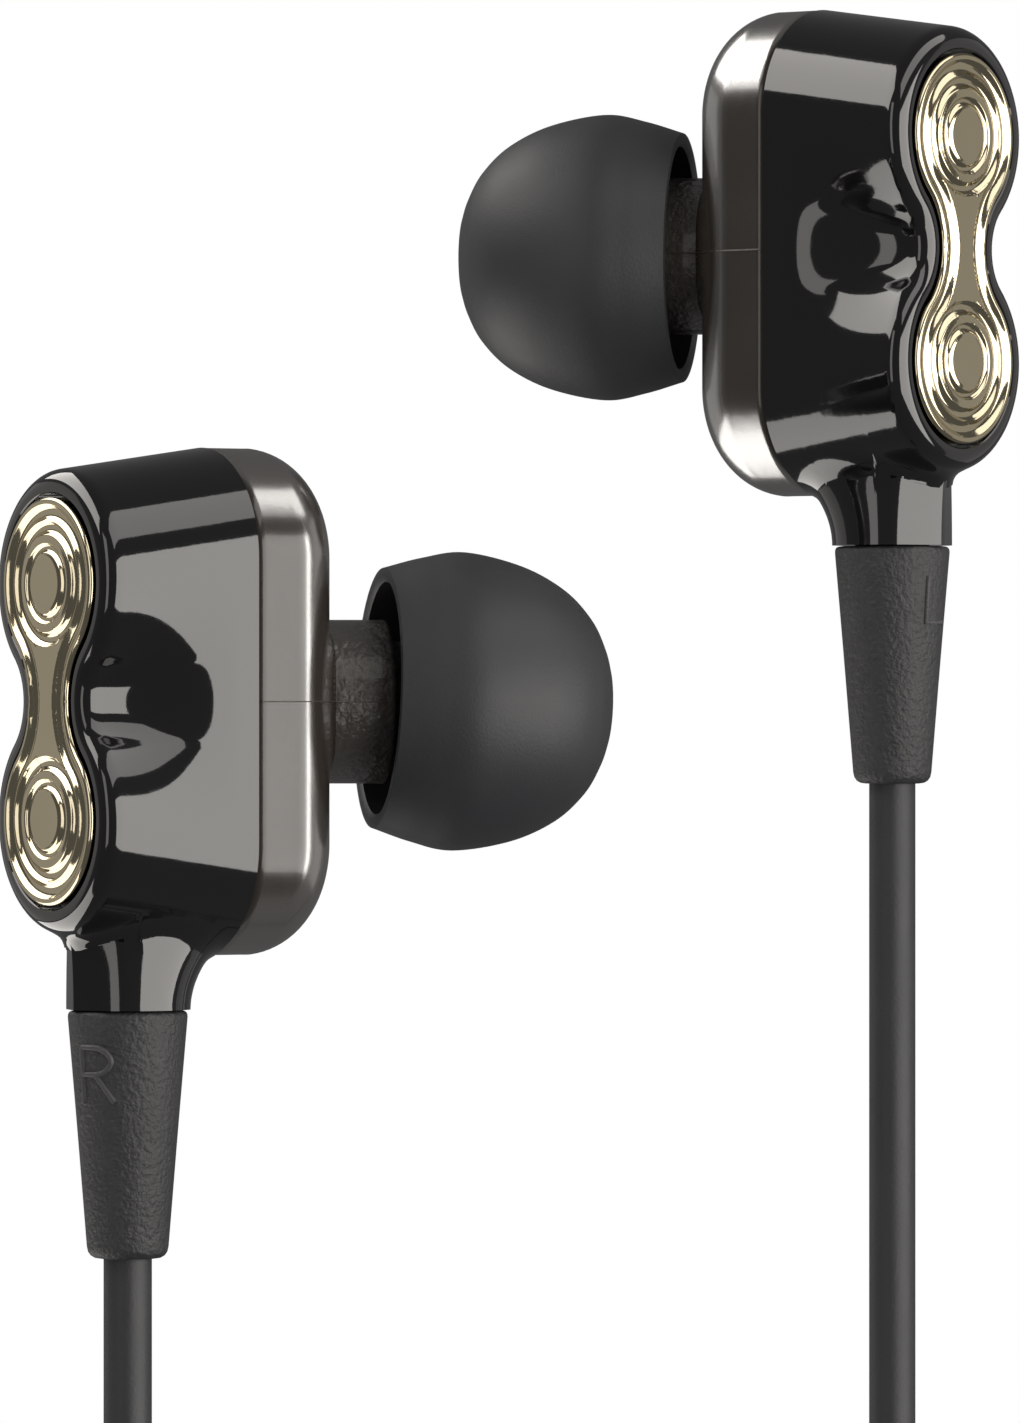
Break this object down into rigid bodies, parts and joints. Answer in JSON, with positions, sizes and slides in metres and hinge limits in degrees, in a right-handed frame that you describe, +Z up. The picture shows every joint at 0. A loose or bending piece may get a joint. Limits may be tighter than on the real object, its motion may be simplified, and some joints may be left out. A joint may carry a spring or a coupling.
{
  "type": "in ear monitors",
  "caption": "Pair of in ear monitors with rounded casings, soft ear tips, inner drivers and a split cord wound to a jack plug.",
  "frame": {"origin": "on the right nozzle axis, where the right ear tip is widest; the right ear canal holds the part there", "axes": "+Z up as worn, +X from the right earpiece to the left one, +Y from the faceplates towards the ears"},
  "size_m": [0.0559, 0.0374, 0.1882],
  "materials": {
    "gold_plate": "polished, champagne gold",
    "black_shell": "gloss",
    "smoke_shell": "gloss, see-through smoke",
    "silicone": "matte",
    "relief_rubber": "matte, fine grain",
    "cord_jacket": "matte",
    "tie_strap": "woven",
    "moulded_rubber": "matte",
    "plug_shell": "satin",
    "plug_contact": "gold plated",
    "insulator": "matte",
    "guard_steel": "fine mesh",
    "foam": "open foam",
    "carrier_plastic": "matte",
    "driver_steel": "plain",
    "soft_iron": "plain",
    "magnet": "nickel plated",
    "copper": "enamelled copper",
    "diaphragm_film": "thin film",
    "board": "matte"
  },
  "bodies": {
    "earphones": {"cable_tie": "tie_strap", "cord_coil": "cord_jacket", "left_branch_cord": "cord_jacket", "left_cord_clamp": "driver_steel", "left_driver_carrier": "carrier_plastic", "left_faceplate": "gold_plate", "left_inner_shell": "smoke_shell", "left_lower_basket": "driver_steel", "left_lower_magnet": "magnet", "left_lower_pole_plate": "soft_iron", "left_lower_yoke": "soft_iron", "left_nozzle_foam": "foam", "left_nozzle_mesh": "guard_steel", "left_outer_shell": "black_shell", "left_signal_wires": "copper", "left_strain_relief": "relief_rubber", "left_terminal_board": "board", "left_upper_basket": "driver_steel", "left_upper_magnet": "magnet", "left_upper_pole_plate": "soft_iron", "left_upper_yoke": "soft_iron", "main_cord": "cord_jacket", "plug_boot": "moulded_rubber", "plug_grip": "plug_shell", "plug_insulators": "insulator", "plug_ring_contact": "plug_contact", "plug_sleeve_contact": "plug_contact", "plug_tip_contact": "plug_contact", "right_branch_cord": "cord_jacket", "right_cord_clamp": "driver_steel", "right_driver_carrier": "carrier_plastic", "right_faceplate": "gold_plate", "right_inner_shell": "smoke_shell", "right_lower_basket": "driver_steel", "right_lower_magnet": "magnet", "right_lower_pole_plate": "soft_iron", "right_lower_yoke": "soft_iron", "right_nozzle_foam": "foam", "right_nozzle_mesh": "guard_steel", "right_outer_shell": "black_shell", "right_signal_wires": "copper", "right_strain_relief": "relief_rubber", "right_terminal_board": "board", "right_upper_basket": "driver_steel", "right_upper_magnet": "magnet", "right_upper_pole_plate": "soft_iron", "right_upper_yoke": "soft_iron", "y_split": "moulded_rubber"},
    "right_ear_tip": {"right_ear_tip": "silicone"},
    "left_ear_tip": {"left_ear_tip": "silicone"},
    "cord_slider": {"cord_slider": "moulded_rubber"},
    "right_upper_moving_coil": {"right_upper_voice_coil": "copper", "right_upper_diaphragm": "diaphragm_film"},
    "right_lower_moving_coil": {"right_lower_voice_coil": "copper", "right_lower_diaphragm": "diaphragm_film"},
    "left_upper_moving_coil": {"left_upper_voice_coil": "copper", "left_upper_diaphragm": "diaphragm_film"},
    "left_lower_moving_coil": {"left_lower_voice_coil": "copper", "left_lower_diaphragm": "diaphragm_film"}
  },
  "joints": [
    {"name": "right_ear_tip_pull_off", "type": "slide", "parent": "earphones", "child": "right_ear_tip", "axis": [0.979, 0.1992, -0.0436], "range_m": [0, 0.008]},
    {"name": "left_ear_tip_pull_off", "type": "slide", "parent": "earphones", "child": "left_ear_tip", "axis": [-0.9848, 0.1736, 0.0087], "range_m": [0, 0.008]},
    {"name": "right_upper_coil_travel", "type": "slide", "parent": "earphones", "child": "right_upper_moving_coil", "axis": [0.8387, 0.5446, 0], "range_m": [-0.00012, 0.00012], "stiffness_N_per_m": 200},
    {"name": "right_lower_coil_travel", "type": "slide", "parent": "earphones", "child": "right_lower_moving_coil", "axis": [0.8387, 0.5446, 0], "range_m": [-0.00012, 0.00012], "stiffness_N_per_m": 200},
    {"name": "left_upper_coil_travel", "type": "slide", "parent": "earphones", "child": "left_upper_moving_coil", "axis": [-0.788, 0.6157, 0], "range_m": [-0.00012, 0.00012], "stiffness_N_per_m": 200},
    {"name": "left_lower_coil_travel", "type": "slide", "parent": "earphones", "child": "left_lower_moving_coil", "axis": [-0.788, 0.6157, 0], "range_m": [-0.00012, 0.00012], "stiffness_N_per_m": 200},
    {"name": "cord_slider_slide", "type": "slide", "parent": "earphones", "child": "cord_slider", "axis": [0, 0, 1], "range_m": [0, 0.009]}
  ]
}
